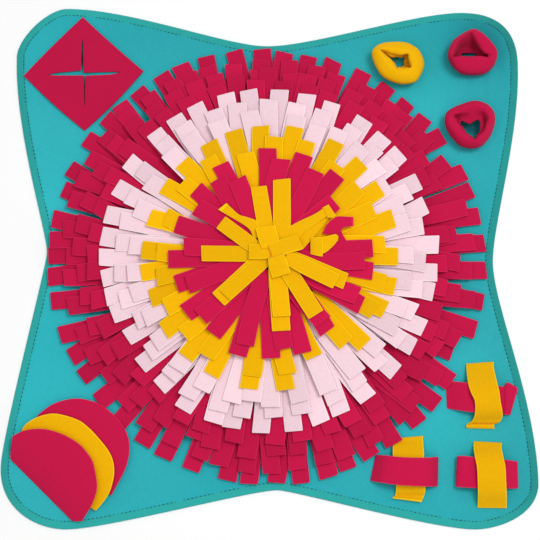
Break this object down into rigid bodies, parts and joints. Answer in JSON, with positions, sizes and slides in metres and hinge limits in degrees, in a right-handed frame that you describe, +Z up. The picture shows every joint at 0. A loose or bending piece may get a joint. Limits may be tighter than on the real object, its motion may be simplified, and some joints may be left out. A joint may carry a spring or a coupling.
{
  "type": "snuffle mat",
  "caption": "Square cloth foraging mat with four rounded lobes, rings of cut fleece strips round a star, and cups, pocket flaps, a slit panel and strap crosses at its corners.",
  "frame": {"origin": "middle of the base cloth's bounding box, on the surface the mat lies on", "axes": "+Z up out of the pile, +Y towards the edge with the slit panel and the cups, -Y towards the edge with the pocket flaps and the strap crosses, +X towards the cups and the strap crosses"},
  "size_m": [0.6, 0.612, 0.0588],
  "materials": {
    "base_cloth": "matt felt with a topstitched rim",
    "crimson_fleece": "matt fleece",
    "pink_fleece": "matt fleece",
    "yellow_fleece": "matt fleece"
  },
  "bodies": {
    "root": {"base_cloth": "base_cloth", "crimson_row_1": "crimson_fleece", "crimson_row_2": "crimson_fleece", "crimson_row_3": "crimson_fleece", "pink_row_1": "pink_fleece", "pink_row_2": "pink_fleece", "yellow_row": "yellow_fleece", "inner_crimson_row": "crimson_fleece", "star_row": "yellow_fleece", "star_tuft": "yellow_fleece", "slit_panel": "crimson_fleece", "yellow_cup": "yellow_fleece", "crimson_cup_1": "crimson_fleece", "crimson_cup_2": "crimson_fleece", "low_flap": "crimson_fleece", "middle_flap": "yellow_fleece", "top_flap": "crimson_fleece", "strap_a_low": "crimson_fleece", "strap_a_high": "yellow_fleece", "strap_b_low": "yellow_fleece", "strap_b_high": "crimson_fleece", "strap_c_low": "crimson_fleece", "strap_c_high": "yellow_fleece"}
  },
  "joints": []
}
